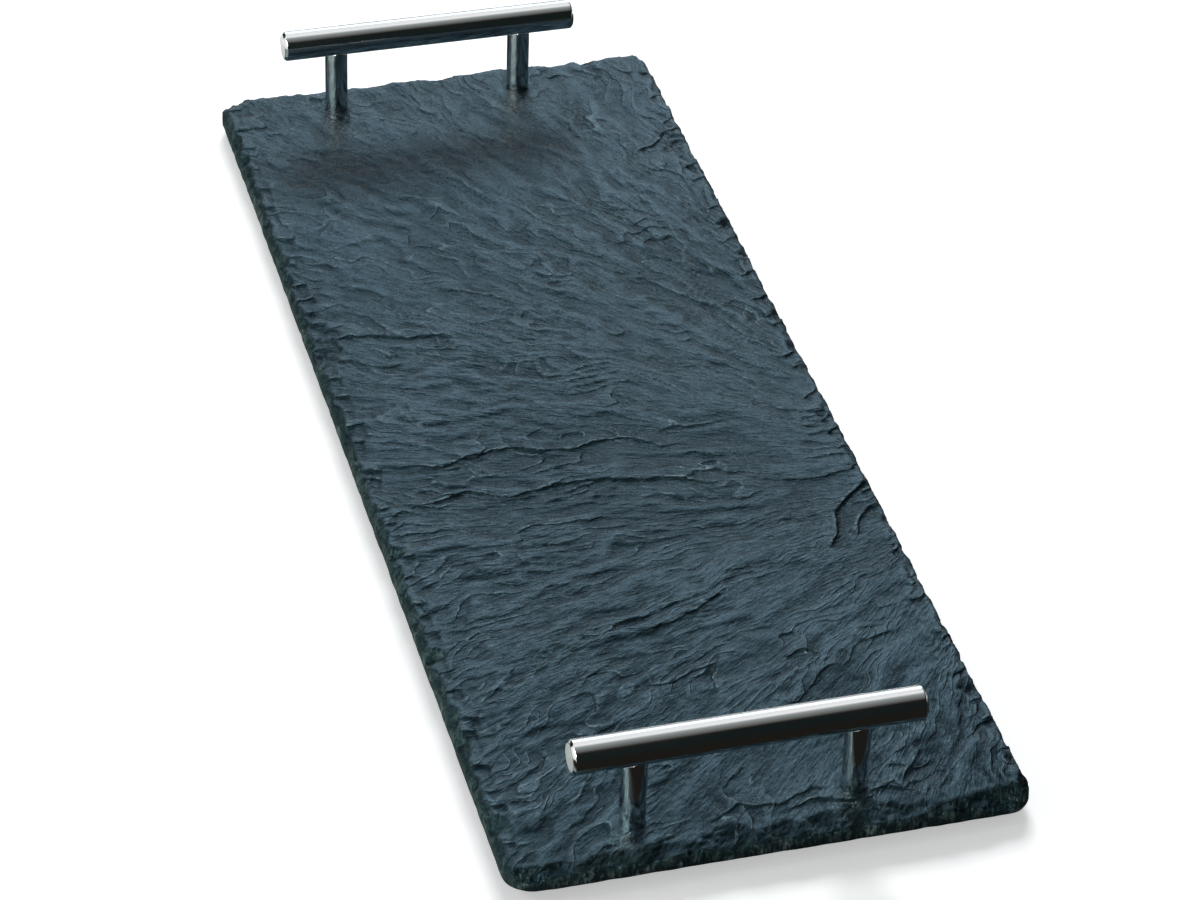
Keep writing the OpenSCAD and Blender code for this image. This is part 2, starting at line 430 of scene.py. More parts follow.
def crease_height(x, y, drop, points):
    """A crease is `drop` of the full depth deep. Towards its line the far side rises by a
    share of that depth and the near side sinks by all of it, both as an exponential of the
    distance over the run-out, and a smooth step joins them across the edge. At the
    crease's two ends this fades to nothing. The side is the sign of the cross product with
    the nearest stretch of the line. Returns the height, the signed distance, and the
    crease's strength, which fades to nothing at the line's reach."""
    best = np.full(x.shape, np.inf)
    side = np.zeros(x.shape)
    share = np.zeros(x.shape)
    spans = list(zip(points[:-1], points[1:]))
    for index, ((ax, ay), (bx, by)) in enumerate(spans):
        dx, dy = bx - ax, by - ay
        length = math.hypot(dx, dy)
        t = np.clip(((x - ax) * dx + (y - ay) * dy) / length ** 2, 0, 1)
        off_x = x - ax - t * dx
        off_y = y - ay - t * dy
        distance = np.hypot(off_x, off_y)
        near = distance < best
        best = np.where(near, distance, best)
        side = np.where(near, np.sign(dx * off_y - dy * off_x), side)
        share = np.where(near, (index + t) / len(spans), share)
    signed = best * side
    fade = smooth(0, CREASE_FADE, share) * smooth(0, CREASE_FADE, 1 - share)
    deep = CREASE_DEPTH * drop
    sink = -deep * np.exp(signed / CREASE_RUNOUT) * (signed < 0)
    rise = CREASE_RISE * deep * np.exp(-signed / CREASE_RUNOUT) * (signed >= 0)
    edge = smooth(*CREASE_EDGE, signed)
    strength = fade * min(1, drop / LINE_FULL_DROP) * smooth(LINE_REACH, LINE_FULL_REACH, best)
    return fade * (sink * (1 - edge) + rise * edge), signed, strength


# Two layers of flakes: how many in a radian about the apex, the share of a flake over which
# it climbs, how far in millimetres, and the first seed of its three noises
FLAKE_LAYERS = [
    (24.0, 0.14, 0.58, 51),
    (52.0, 0.28, 0.28, 61),
]
# The width and length of the streaks that make flakes wander, shiver and fade in and out,
# how far the first two push the phase, and between which values of the third a flake shows
WANDER_STREAKS, WANDER_PUSH = (5.0, 26.0), 1.1
SHIVER_STREAKS, SHIVER_PUSH = (1.6, 7.0), 0.16
FADE_STREAKS, FADE_RANGE = (3.4, 18.0), (-0.5, 1.1)

# Layers of streaks in the relief: seed, width and length of the streaks, height, and how
# much a hyperbolic tangent sharpens their edges, 0 for not at all
BROAD_LAYERS = [(21, 11.0, 60.0, 0.28, 0), (22, 2.6, 24.0, 0.26, 2.2)]
NARROW_LAYERS = [(23, 1.35, 11.0, 0.30, 1.5), (24, 0.55, 4.0, 0.09, 0)]
# The slow and the fine noise that push the relief about: the seeds for X and Y, the size,
# and how far they push
WARP_SEEDS, WARP_SIZE, WARP_PUSH = (11, 12), 7.0, 1.6
KINK_SEEDS, KINK_SIZE, KINK_PUSH = (14, 13), 1.8, 0.45
# The noises that push the creases along Y: how far, seed and size
SHIVER_NOISES = [(0.35, 15, 1.6), (0.7, 16, 5.0)]
# The patches of stronger narrow ripples: seed and size, mean strength, and its deviation
PATCHES = (25, 20.0)
PATCH_MEAN = 0.75
PATCH_SPREAD = 0.25

# The face is flatter at the rear: the share of its relief that it loses there, and the Y
# at which this starts and is complete
REAR_CALM = 0.3
REAR_REACH = (20, 170)


def flake_height(x, y, per_radian, drop_share, drop, seed):
    """Flakes that overlap like tiles. Their phase is the angle about the apex times their
    number in a radian, plus noise. Within a flake the height climbs by `drop` over the
    drop's share, as 3t^2 - 2t^3, and falls back straight over the rest. Streaks of noise
    fade each flake in and out. Returns the height, the phase and the presence."""
    wander = streaks_at(x, y, seed, *WANDER_STREAKS)
    shiver = streaks_at(x, y, seed + 1, *SHIVER_STREAKS)
    angle = np.arctan2(y - APEX[1], APEX[0] - x)
    phase = angle * per_radian + WANDER_PUSH * wander + SHIVER_PUSH * shiver
    part = phase - np.floor(phase)
    climb = smooth(0, drop_share, part)
    fall = 1 - np.clip((part - drop_share) / (1 - drop_share), 0, 1)
    present = smooth(*FADE_RANGE, streaks_at(x, y, seed + 2, *FADE_STREAKS))
    tile = np.where(part < drop_share, climb, fall)
    return drop * present * (tile - 0.5), phase, present


def shivered(x, y):
    """The Y of each place pushed about by a fine and a slow noise, so that a crease isn't a
    smooth line."""
    pushed = y
    for push, seed, size in SHIVER_NOISES:
        pushed = pushed + push * patches_at(x, y, seed, size)
    return pushed


def layered_streaks(x, y, layers):
    """The sum of the layers: their streaks, sharpened or not, times their heights."""
    total = 0
    for seed, across, along, rise, sharpness in layers:
        streaks = streaks_at(x, y, seed, across, along)
        if sharpness:
            streaks = np.tanh(sharpness * streaks)
        total = total + rise * streaks
    return total


def ripple_height(x, y):
    """The sum of streaky layers that point to the apex: broad swells and steps, narrow
    ripples that are stronger in some patches, and flakes. The places are first pushed
    about a little, so that all of them wander. Returns the height, and the phase and
    presence of each flake layer."""
    warp_x, warp_y = [patches_at(x, y, seed, WARP_SIZE) for seed in WARP_SEEDS]
    kink_x, kink_y = [patches_at(x, y, seed, KINK_SIZE) for seed in KINK_SEEDS]
    wx = x + WARP_PUSH * warp_x + KINK_PUSH * kink_x
    wy = y + WARP_PUSH * warp_y + KINK_PUSH * kink_y
    patch = PATCH_MEAN + PATCH_SPREAD * patches_at(x, y, *PATCHES)
    height = layered_streaks(wx, wy, BROAD_LAYERS)
    height += patch * layered_streaks(wx, wy, NARROW_LAYERS)
    layers = []
    for layer in FLAKE_LAYERS:
        flakes, phase, present = flake_height(wx, wy, *layer)
        height += flakes
        layers.append((phase, present))
    return height, layers


# Chips along the rim: for each size of chip, its pitch along the rim, its reach inwards,
# its stretch along the rim, and how far above its side's lowest start it starts, each as
# least and most
CHIP_SIZES = [
    (19.0, (4.4, 8.0), (1.2, 2.2), (0.0, 1.0)),
    (9.0, (2.6, 5.0), (0.9, 1.7), (0.2, 1.4)),
    (4.2, (1.4, 2.8), (0.7, 1.4), (0.4, 2.0)),
]
CHIP_SEED = 5
# For each side and for the corners: how much wider the chips reach, and the least height
# above the underside at which one starts
SIDE_CHIPS = {"front": (1.25, 4.0), "right": (0.55, 5.6), "rear": (0.6, 4.6), "left": (0.62, 3.4)}
CORNER_CHIPS = (0.7, 3.2)
# The corners anticlockwise from the front left one: the signs of X and Y, the angle at
# which the arc starts, and the side that follows it
RIM_CORNERS = [(-1, -1, 180, "front"), (1, -1, 270, "right"),
               (1, 1, 0, "rear"), (-1, 1, 90, "left")]
RIM_POINT_STEP = 0.5
# A corner's arc is about this much longer than its chord
ARC_SHARE = 1.1
# The bevel under the chips: its start above the underside, and its width with the least
# and most share of it that noise leaves
BEVEL_START = 4.2
BEVEL_WIDTH = 1.7
BEVEL_LIMITS = (0.4, 2)
# How much the rough noise shakes the bevel's width, its height, the scoops and the ledges
WIDTH_SHAKE = 0.35
BEVEL_SHAKE = 0.2
SCOOP_SHAKE = 0.3
LEDGE_SHAKE = 0.35
# A scoop climbs as this power, and is worked out up to this share of its reach
CHIP_POWER = 1.6
CHIP_END = 1.25
# Stone cut below the face breaks in ledges: how high each is, how much of the height they
# take over, the part of a ledge that climbs, and the depths over which they set in
LEDGE = 1.15
LEDGE_SHARE = 0.85
LEDGE_RISER = (0.45, 1)
LEDGED_DEPTH = (0.15, 0.5)
# The rim's look, whose dark colour is partly the stone's own and partly painted shade: the
# depths below the face over which it sets in, how much of it level stone has, and the slopes
# over which the rest sets in, so that steep faces are painted darker. On the right side it
# ends at the first of two distances from the rim and is complete at the second
DRESSED_DEPTH = (0.05, 0.35)
LEVEL_DRESSED = 0.3
STEEP_SHADE = (0.35, 0.9)
RIGHT_DRESSED = (1.8, 0.6)

# How many lines of the grid each way a crest is compared with
CREST_REACH = 4
# How far the strokes beside the short ends are set off, in millimetres
RUN_OFFSET = 1000

# Larger chips, given one by one: X and Y on the rim, reach inwards, stretch along the rim,
# and how high above the underside the chip starts
LARGE_CHIPS = [
    (-90, 58, 12, 1.1, 4.4),
    (-90, -67, 5.5, 0.7, 3.4),
    (-90, -125, 7, 0.6, 3.2),
    (-90, -169, 6, 0.6, 3.4),
    (-90, -213, 7, 0.7, 3.2),
    (-90, 121, 5, 0.9, 3.4),
    (-90, 195, 5, 0.9, 3.4),
    (-90, 20, 4.5, 1.5, 3.2),
    (90, 168, 13, 0.6, 5.6),
    (90, 108, 7, 0.8, 5.2),
    (90, 85, 5, 1.0, 5.0),
    (90, 45, 5, 1.0, 5.0),
    (90, 23, 5, 1.0, 5.0),
    (90, -183, 7, 0.6, 5.2),
    (64, 240, 6, 0.8, 3.6),
    (80, -240, 7.0, 1.7, 3.0),
    (30, -240, 11.0, 0.7, 4.8),
    (2, -240, 9.0, 0.9, 5.0),
    (-38, -240, 8.0, 0.6, 4.6),
]


def rim_stretch(x, y, outward, chips):
    """Points of the rim as rows of six: place, outward direction, reach, least start."""
    values = (x, y, *outward, *chips)
    return np.stack([np.broadcast_to(value, x.shape) for value in values], axis=1)


def rim_points():
    """Points round the rim, a short step apart: quarter ellipses at the corners and straight
    sides between them."""
    stretches = []
    for k, (sx, sy, first_angle, side) in enumerate(RIM_CORNERS):
        cut_x, cut_y = CORNER_CUTS[(sx, sy)]
        middle_x, middle_y = sx * (HALF_W - cut_x), sy * (HALF_L - cut_y)
        count = int(math.hypot(cut_x, cut_y) * ARC_SHARE / RIM_POINT_STEP)
        turn = np.radians(first_angle + 90 * (np.arange(count) + 0.5) / count)
        x = middle_x + cut_x * np.cos(turn)
        y = middle_y + cut_y * np.sin(turn)
        stretches.append(rim_stretch(x, y, (np.cos(turn), np.sin(turn)), CORNER_CHIPS))

        nx, ny = RIM_CORNERS[(k + 1) % 4][:2]
        next_x, next_y = CORNER_CUTS[(nx, ny)]
        if side in ("front", "rear"):
            ax, ay, bx, by = middle_x, sy * HALF_L, nx * (HALF_W - next_x), ny * HALF_L
            outward = (0, sy)
        else:
            ax, ay, bx, by = sx * HALF_W, middle_y, nx * HALF_W, ny * (HALF_L - next_y)
            outward = (sx, 0)
        count = int(math.hypot(bx - ax, by - ay) / RIM_POINT_STEP)
        t = (np.arange(count) + 0.5) / count
        x = ax + (bx - ax) * t
        y = ay + (by - ay) * t
        stretches.append(rim_stretch(x, y, outward, SIDE_CHIPS[side]))
    return np.concatenate(stretches)


def chip_list():
    """Every chip: X, Y, outward X and Y, reach, stretch and start height. Random ones of
    each size follow the rim at their pitch, and the listed ones come last."""
    rng = np.random.default_rng(CHIP_SEED)
    rim = rim_points()
    chips = []
    for pitch, reach, stretch, start in CHIP_SIZES:
        gap = int(pitch / RIM_POINT_STEP)
        for first in range(0, len(rim), gap):
            at = rim[(first + rng.integers(0, gap)) % len(rim)]
            chips.append((*at[:4], rng.uniform(*reach) * at[4], rng.uniform(*stretch),
                          at[5] + rng.uniform(*start)))
    for x, y, reach, stretch, start in LARGE_CHIPS:
        nearest = rim[np.argmin(np.hypot(rim[:, 0] - x, rim[:, 1] - y))]
        chips.append((*nearest[:4], reach, stretch, start))
    return chips


def chipped_height(x, y, face, inside, rough):
    """The lowest of the face, a narrow bevel and all chips. The bevel climbs to the face
    over its width, straight. A chip is a scoop round its place on the rim: it starts at
    its start height and climbs to the face as a power of the distance from its place,
    where the distance along the rim counts less by the chip's stretch."""
    width = BEVEL_WIDTH * np.clip(1 + WIDTH_SHAKE * rough, *BEVEL_LIMITS)
    bevel = UNDER_Z + BEVEL_START + (THICKNESS - BEVEL_START) * inside / width
    height = np.minimum(face, bevel + BEVEL_SHAKE * rough)
    for cx, cy, nx, ny, reach, stretch, start in chip_list():
        out = (x - cx) * nx + (y - cy) * ny
        along = (x - cx) * -ny + (y - cy) * nx
        share = np.hypot(along / stretch, out) / reach
        near = share < CHIP_END
        rise = np.power(share[near], CHIP_POWER)
        scoop = UNDER_Z + start + (THICKNESS - start) * rise + SCOOP_SHAKE * rough[near]
        height[near] = np.minimum(height[near], scoop)
    return ledged_height(height, face, rough)


def ledged_height(height, face, rough):
    """Stone cut below the face breaks in ledges: each is level up to where its riser starts
    and then climbs along a smooth step. Noise shakes the ledges."""
    shake = LEDGE_SHAKE * rough
    steps = (height - UNDER_Z) / LEDGE + shake
    ledges = (np.floor(steps) + smooth(*LEDGE_RISER, steps - np.floor(steps)) - shake) * LEDGE
    cut = smooth(*LEDGED_DEPTH, face - height)
    ledged = height + LEDGE_SHARE * (UNDER_Z + ledges - height)
    return np.minimum(face, height + cut * (ledged - height))


def graded(half, step_count):
    """Places from -half to half: even fine steps in the rim at both ends, and even wider
    steps between."""
    rim_count = int(round(RIM / RIM_STEP))
    rim = np.linspace(-half, -half + RIM, rim_count + 1)
    middle = np.linspace(-half + RIM, half - RIM, step_count - 2 * rim_count + 1)
    return np.concatenate([rim[:-1], middle, -rim[::-1][1:]])


def round_corners(x, y):
    """The rectangle's grid drawn in at its corners. In a corner's cell the shares s and t
    of the cut become s sqrt(1 - t^2 / 2) and t sqrt(1 - s^2 / 2), which carries the
    cell's two outer sides onto a quarter of an ellipse."""
    x = x.copy()
    y = y.copy()
    for (sx, sy), (cut_x, cut_y) in CORNER_CUTS.items():
        s = (sx * x - (HALF_W - cut_x)) / cut_x
        t = (sy * y - (HALF_L - cut_y)) / cut_y
        inside = (s > 0) & (t > 0)
        s, t = s[inside], t[inside]
        x[inside] = sx * (HALF_W - cut_x + cut_x * s * np.sqrt(1 - t * t / 2))
        y[inside] = sy * (HALF_L - cut_y + cut_y * t * np.sqrt(1 - s * s / 2))
    return x, y


def rim_distance(x, y):
    """How far a place lies inside the rim: the lesser of its distances from the sides, and
    in a corner the share left of the ellipse's radius times the mean cut."""
    inside = np.minimum(HALF_W - np.abs(x), HALF_L - np.abs(y))
    for (sx, sy), (cut_x, cut_y) in CORNER_CUTS.items():
        s = (sx * x - (HALF_W - cut_x)) / cut_x
        t = (sy * y - (HALF_L - cut_y)) / cut_y
        corner = (s > 0) & (t > 0)
        radius = (1 - np.hypot(s, t)) * (cut_x + cut_y) / 2
        inside = np.where(corner, np.minimum(inside, radius), inside)
    return inside


def run_along_rim(x, y):
    """How far along its side of the rim a place lies: its Y beside the long sides, and its
    X beside the short ones, set off so that their strokes are others."""
    beside = HALF_W - np.abs(x) < HALF_L - np.abs(y)
    return np.where(beside, y, x + RUN_OFFSET)


def crest_height(height):
    """The height less its mean over the neighbours within the reach."""
    mean = height
    for axis in (0, 1):
        shifted = [np.roll(mean, k, axis=axis) for k in range(-CREST_REACH, CREST_REACH + 1)]
        mean = sum(shifted) / len(shifted)
    return height - mean


def seat_mask(x, y, places, flat, fade):
    """0 inside the flat radius of each place, and 1 beyond the fade."""
    mask = np.ones_like(x)
    for place in places:
        mask *= smooth(flat, flat + fade, np.hypot(x - place[0], y - place[1]))
    return mask


def grid_faces(rows, columns, first=0):
    """The quads of a grid of points, counted row by row, that face up."""
    j, i = np.meshgrid(np.arange(rows - 1), np.arange(columns - 1), indexing="ij")
    low = first + j * columns + i
    return np.stack([low, low + 1, low + columns + 1, low + columns], axis=-1).reshape(-1, 4)


def border_of(rows, columns):
    """The numbers of a grid's border points, anticlockwise from its first corner."""
    index = np.arange(rows * columns).reshape(rows, columns)
    parts = [index[0, :-1], index[:-1, -1], index[-1, :0:-1], index[:0:-1, 0]]
    return np.concatenate(parts)


# The seats of the posts on the face, and those of posts and feet below: radius and fade
FACE_SEAT = (5.0, 3.0)
UNDER_SEAT = (7.0, 4.0)
# The two noises of the broken stone, fine and broad, as seed and size, and their weight
ROUGH_NOISES = [(31, 0.8), (32, 2.5)]
ROUGH_WEIGHT = 0.6
# The bites in the rim: seed and size of their noise, how far inwards they reach, their mean
# depth, the depth for each deviation of the noise, the deepest one, and the share of them
# that reaches the underside
BITE_NOISE = (33, 1.6)
BITE_REACH = 4.0
BITE_MEAN = 0.3
BITE_SPREAD = 0.3
BITE_LIMIT = 0.9
FOOT_BITE = 0.3
# The heights of the wall's two rings between foot and rim, as shares
WALL_SHARES = (0.66, 0.33)
# The distance from the rim over which the wall's look fades out
WALL_FADE = 0.6
# The ripples of the underside: seed, width and length of the streaks, and their height
UNDER_STREAKS = (41, 4.0, 30.0)
UNDER_RIPPLE = 0.12


def riven_relief(x, y):
    """The height of the riven face over its mean: ripples, flakes and creases, calmer at
    the rear and flat under the posts. Returns it, and the numbers for the material: the
    depth, the distance from the strongest crease near by and its strength, and each
    flake layer's phase and presence."""
    relief, layers = ripple_height(x, y)
    shivered_y = shivered(x, y)
    line = np.full(x.shape, LINE_REACH)
    line_share = np.zeros(x.shape)
    for drop, points in CREASES + nick_list():
        crease, signed, strength = crease_height(x, shivered_y, drop, points)
        relief += crease
        stronger = strength > line_share
        line = np.where(stronger, signed, line)
        line_share = np.where(stronger, strength, line_share)
    seats = seat_mask(x, y, POSTS, *FACE_SEAT)
    relief *= seats * (1 - REAR_CALM * smooth(*REAR_REACH, y))
    marks = {"depth": relief, "line": line, "line_share": line_share * seats}
    for number, (phase, present) in enumerate(layers):
        marks["flake_%d" % number] = phase
        marks["flake_%d_share" % number] = present * seats
    return relief, marks


def dressed_share(xs, ys, face, height, inside):
    """How much of the rim's look a place takes: a smooth step of its depth below the face,
    times a share that grows with its slope, so that steep faces are painted darker as painted
    shade. On the right side the chips keep the face's look, except at the very rim."""
    slope = np.hypot(np.gradient(height, xs, axis=1), np.gradient(height, ys, axis=0))
    steep = LEVEL_DRESSED + (1 - LEVEL_DRESSED) * smooth(*STEEP_SHADE, slope)
    beside_right = (xs > HALF_W - RIM) & (ys[:, None] > -HALF_L + RIM)
    rim_look_kept = np.where(beside_right, smooth(*RIGHT_DRESSED, inside), 1)
    return smooth(*DRESSED_DEPTH, face - height) * steep * rim_look_kept


def bitten(x, y, xs, ys, inside):
    """The places near the rim, drawn inwards a little, more where the noise is high."""
    depth = np.clip(BITE_MEAN + BITE_SPREAD * patches_at(x, y, *BITE_NOISE), 0, BITE_LIMIT)
    pull = depth * smooth(BITE_REACH, 0.0, inside)
    near_side = np.abs(np.abs(xs) - HALF_W) < BITE_REACH
    near_end = (np.abs(np.abs(ys) - HALF_L) < BITE_REACH)[:, None]
    return x - np.sign(x) * pull * near_side, y - np.sign(y) * pull * near_end


def underside(x, y):
    """Every third line of the grid, sawn almost flat, with faint ripples that stop at the
    posts and feet."""
    x = x[::UNDER_SKIP, ::UNDER_SKIP]
    y = y[::UNDER_SKIP, ::UNDER_SKIP]
    ripples = np.abs(streaks_at(x, y, *UNDER_STREAKS)) * UNDER_RIPPLE
    ripples *= seat_mask(x, y, POSTS + FEET, *UNDER_SEAT)
    return np.stack([x, y, UNDER_Z + ripples], axis=-1)


def slab_surface(top, below, under):
    """The points and faces of the closed slab, and how many of its points are on the wall.
    It is given the points of the top, the same places unbitten at the underside's level,
    and the underside's grid. The foot ring takes a share of the rim's bites, and two rings
    lie between it and the rim. The points come in this order: top, wall, underside."""
    border = border_of(ROWS + 1, COLUMNS + 1)
    count = len(border)
    rim = top[border]
    foot = below[border]
    foot[:, :2] += FOOT_BITE * (rim - foot)[:, :2]
    rings = [foot + (rim - foot) * share for share in WALL_SHARES] + [foot]
    inner = under[1:-1, 1:-1]
    points = np.concatenate([top, *rings, inner.reshape(-1, 3)])
    *ring_starts, inner_start = [len(top) + k * count for k in range(len(rings) + 1)]

    faces = [grid_faces(ROWS + 1, COLUMNS + 1)]
    upper = border
    for start in ring_starts:
        lower = start + np.arange(count)
        faces.append(np.stack([upper, lower, np.roll(lower, -1), np.roll(upper, -1)], axis=1))
        upper = lower
    # The underside inside its border, then the strip between the border and that
    faces.append(grid_faces(*inner.shape[:2], inner_start)[:, ::-1])
    faces.append(under_strip(ring_starts[-1], inner_start, *under.shape[:2], count))
    return points, np.concatenate(faces), len(rings) * count


def make_slab(material):
    """The slab is one closed grid: the riven face with its chipped rim, a wall of two rings
    and the foot ring below the rim, and the underside, which keeps every third line."""
    xs = graded(HALF_W, COLUMNS)
    ys = graded(HALF_L, ROWS)
    x, y = round_corners(*np.meshgrid(xs, ys))
    inside = rim_distance(x, y)
    rough = sum(ROUGH_WEIGHT * patches_at(x, y, *noise) for noise in ROUGH_NOISES)
    relief, marks = riven_relief(x, y)
    face = TOP_Z + relief
    height = chipped_height(x, y, face, inside, rough)
    marks["crest"] = crest_height(height)
    bitten_x, bitten_y = bitten(x, y, xs, ys, inside)
    top = np.stack([bitten_x, bitten_y, height], axis=-1).reshape(-1, 3)
    below = np.stack([x, y, np.full(x.shape, UNDER_Z)], axis=-1).reshape(-1, 3)
    points, faces, wall_count = slab_surface(top, below, underside(bitten_x, bitten_y))
    slab = mesh_object("slate_slab", points, faces, material)

    # The wall has the rim's look all over, and the underside hasn't
    others = len(points) - len(top)
    wall = (np.arange(others) < wall_count).astype(float)
    # The rim's dark look, partly its own colour and partly painted shade on steep faces
    looks = {"dressed": dressed_share(xs, ys, face, height, inside),
             "wall": smooth(WALL_FADE, 0.0, inside)}
    for name, values in looks.items():
        add_attribute(slab, name, np.concatenate([values.ravel(), wall]))
    for name, values in marks.items():
        add_attribute(slab, name, np.concatenate([values.ravel(), np.zeros(others)]))
    add_attribute(slab, "run", run_along_rim(points[:, 0], points[:, 1]))
    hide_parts("slate_board")


def under_strip(ring_start, inner_start, rows, columns, count):
    """Triangles between the fine ring round the underside and the coarser grid inside it.
    Each coarse border point stands for every third fine one. A coarse point that lies on
    the border takes the inner grid's nearest point."""
    j, i = np.meshgrid(np.arange(rows), np.arange(columns), indexing="ij")
    near_j = np.clip(j, 1, rows - 2) - 1
    near_i = np.clip(i, 1, columns - 2) - 1
    nearest = (inner_start + near_j * (columns - 2) + near_i).ravel()
    coarse = nearest[border_of(rows, columns)]
    fine = ring_start + np.arange(count)
    own = np.repeat(coarse, UNDER_SKIP)
    following = np.roll(fine, -1)
    none = np.full(count, -1)
    fans = np.stack([fine, own, following, none], axis=1)
    next_coarse = np.roll(coarse, -1)
    ends = ring_start + (np.arange(1, len(coarse) + 1) * UNDER_SKIP) % count
    links = np.stack([coarse, next_coarse, ends, np.full(len(coarse), -1)], axis=1)
    return np.concatenate([fans, links[coarse != next_coarse]])


# Handles

STUD_BORE_RADIUS = 2.55
SCREW_BORE_RADIUS = 2.05
# How far a bore runs on past its stud or screw, and the gap between saddle and bar
BORE_END = 0.6
SADDLE_GAP = 0.05
# How far below the post's shoulder its side and its stud bore stop following the saddle
SADDLE_LEAD = 2
BORE_MOUTH = 1
BAR_CHAMFER = 1.0
# How far the corners of a bar's and of a post's profile are drawn round, and the points
# that each then has
BAR_SOFTNESS = (0.3, 5)
POST_SOFTNESS = (0.15, 4)
# The rings that the lathe leaves on an end face, and the points round each piece
LATHE_PITCH = 0.4
TURN_COUNT = 96


def softened(profile, cut, steps):
    """A profile's corners drawn round: each corner becomes a parabola between the points
    that lie the cut, or a third of the leg, before and after it."""
    profile = np.array(profile, float)
    soft = [profile[0]]
    for before, corner, after in zip(profile[:-2], profile[1:-1], profile[2:]):
        legs = [before - corner, after - corner]
        ends = []
        for leg in legs:
            length = np.linalg.norm(leg)
            ends.append(corner + leg / length * min(cut, length / 3))
        for t in np.linspace(0, 1, steps):
            soft.append((1 - t) ** 2 * ends[0] + 2 * t * (1 - t) * corner + t * t * ends[1])
    soft.append(profile[-1])
    return np.array(soft)


def end_share(radius, along):
    """1 where a profile's leg runs straight in or out, as on an end face, and 0 where it
    runs along the axis or on a chamfer. A tenth of slope still counts as straight."""
    steep = np.abs(np.gradient(along)) < 0.1 * np.abs(np.gradient(radius))
    return steep.astype(float)


def turned_piece(name, radius, along, place, material, node_name):
    """A lathe piece: each point of the profile, at its radius and height, is carried round
    the axis. The first and last points lie on the axis and close it. `along` has a column
    for every angle, and `place` moves the local X, Y and Z to the piece's own."""
    turn = np.radians(np.arange(TURN_COUNT) * 360 / TURN_COUNT)
    ring_x = radius[1:-1, None] * np.cos(turn)
    ring_y = radius[1:-1, None] * np.sin(turn)
    rings = np.stack([ring_x, ring_y, along[1:-1]], axis=-1).reshape(-1, 3)
    poles = np.array([[0, 0, along[0].mean()], [0, 0, along[-1].mean()]])
    points = place(np.concatenate([rings, poles]))
    count = len(radius) - 2
    j, i = np.meshgrid(np.arange(count - 1), np.arange(TURN_COUNT), indexing="ij")
    here = j * TURN_COUNT + i
    there = j * TURN_COUNT + (i + 1) % TURN_COUNT
    quads = np.stack([here, there, there + TURN_COUNT, here + TURN_COUNT], axis=-1).reshape(-1, 4)
    # A fan of triangles from each pole to the first ring and to the last
    first = np.arange(TURN_COUNT)
    following = (first + 1) % TURN_COUNT
    last = (count - 1) * TURN_COUNT
    pole = np.full(TURN_COUNT, count * TURN_COUNT)
    none = np.full(TURN_COUNT, -1)
    start = np.stack([pole, following, first, none], axis=1)
    end = np.stack([pole + 1, last + first, last + following, none], axis=1)
    piece = mesh_object(name, points, np.concatenate([quads, start, end]), material)
    on_rings = np.repeat(radius[1:-1], TURN_COUNT)
    add_attribute(piece, "ring", np.concatenate([on_rings, [0, 0]]))
    facing = np.repeat(end_share(radius, along[:, 0])[1:-1], TURN_COUNT)
    add_attribute(piece, "end_face", np.concatenate([facing, [1, 1]]))
    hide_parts(node_name)


def make_bar(name, material):
    """A round bar along X: flat end faces, chamfers, and softened corners between them."""
    low, high = box_of(name)
    middle = (low + high) / 2
    half = (high[0] - low[0]) / 2
    r = (high[2] - low[2]) / 2
    c = BAR_CHAMFER
    profile = [(0, -half), (r - c, -half), (r, c - half), (r, half - c), (r - c, half), (0, half)]
    soft = softened(profile, *BAR_SOFTNESS)
    radius = soft[:, 0]
    along = np.repeat(soft[:, 1:2], TURN_COUNT, axis=1)

    def place(points):
        """The axis turned to lie along X, through the bar's middle."""
        return middle + np.stack([points[:, 2], points[:, 0], points[:, 1]], axis=1)

    turned_piece(name + "_turned", radius, along, place, material, name)


def make_post(corner, bar, material):
    """A round post with a saddle on top, a blind bore for the stud above and one for the
    screw below. Where a point follows the saddle, its height is the bar's axis less the
    root of the saddle's radius squared less the point's Y squared."""
    low, high = box_of(corner + "_post")
    middle = (low + high) / 2
    bar_low, bar_high = box_of(bar)
    axis_z = (bar_low[2] + bar_high[2]) / 2
    saddle = (bar_high[2] - bar_low[2]) / 2 + SADDLE_GAP
    stud_end = box_of(corner + "_stud")[0][2] - BORE_END
    screw_end = box_of(corner + "_screw")[1][2] + BORE_END
    foot = low[2]
    shoulder = axis_z - saddle
    r = (high[0] - low[0]) / 2
    # Radius, height, and whether the point follows the saddle
    profile = [(0, screw_end, 0), (SCREW_BORE_RADIUS, screw_end, 0), (SCREW_BORE_RADIUS, foot, 0),
               (r, foot, 0), (r, shoulder - SADDLE_LEAD, 0), (r, shoulder, 1),
               (STUD_BORE_RADIUS, shoulder, 1), (STUD_BORE_RADIUS, shoulder - BORE_MOUTH, 0),
               (STUD_BORE_RADIUS, stud_end, 0), (0, stud_end, 0)]
    soft = softened(profile, *POST_SOFTNESS)
    radius = soft[:, 0]
    turn = np.radians(np.arange(TURN_COUNT) * 360 / TURN_COUNT)
    across = radius[:, None] * np.sin(turn)
    rise = saddle - np.sqrt(saddle ** 2 - across ** 2)
    along = soft[:, 1:2] + soft[:, 2:3] * rise

    def place(points):
        """The axis upright through the post's middle."""
        return points + [middle[0], middle[1], 0]

    turned_piece(corner + "_post_turned", radius, along, place, material, corner + "_post")


# Materials

